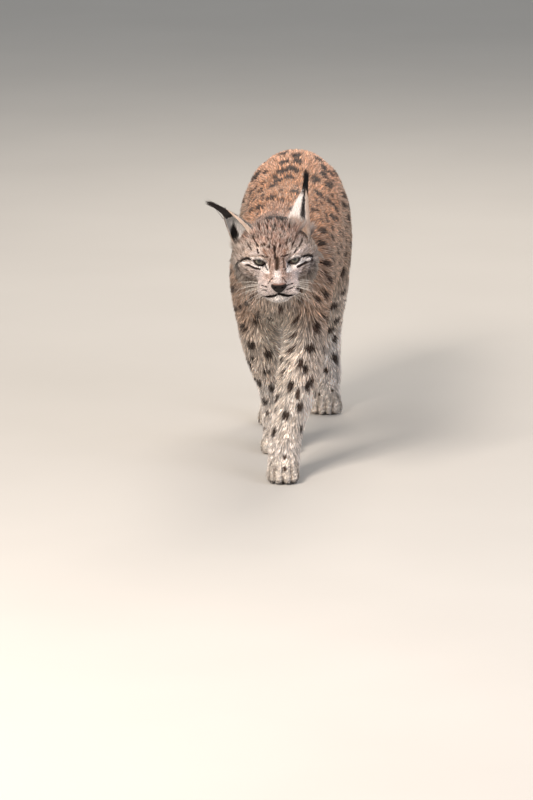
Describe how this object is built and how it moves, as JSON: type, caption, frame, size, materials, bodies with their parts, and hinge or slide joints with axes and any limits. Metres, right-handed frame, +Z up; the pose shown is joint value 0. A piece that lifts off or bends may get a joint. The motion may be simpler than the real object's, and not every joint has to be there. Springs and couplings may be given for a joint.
{
  "type": "eurasian lynx",
  "caption": "Still, life-size model of a Eurasian lynx walking with its head low, with tufted ears, long legs, broad paws and a short black-tipped tail.",
  "frame": {"origin": "middle of the footprint's bounding box, on the floor under the paws", "axes": "+Z up, -Y where the animal walks to, +X its left side"},
  "size_m": [0.297, 1.0916, 0.6891],
  "materials": {
    "tawny_fur": "spotted summer fur",
    "grey_fur": "grizzled fur",
    "pale_fur": "spotted pale fur",
    "ear_fur": "short grey fur with black rims and tufts",
    "black_fur": "matte black fur",
    "iris": "wet glossy eye",
    "nose_leather": "damp bare skin"
  },
  "bodies": {
    "root": {"belly": "tawny_fur", "chest": "grey_fur", "ear_left": "ear_fur", "ear_right": "ear_fur", "eye_left": "iris", "eye_right": "iris", "foreleg_left": "pale_fur", "foreleg_right": "pale_fur", "forepaw_left": "pale_fur", "forepaw_right": "pale_fur", "head": "grey_fur", "hind_foot_left": "pale_fur", "hind_foot_right": "pale_fur", "hips": "tawny_fur", "neck": "grey_fur", "nose": "nose_leather", "shank_left": "pale_fur", "shank_right": "pale_fur", "tail": "tawny_fur", "tail_tip": "black_fur", "thigh_left": "tawny_fur", "thigh_right": "tawny_fur"}
  },
  "joints": []
}
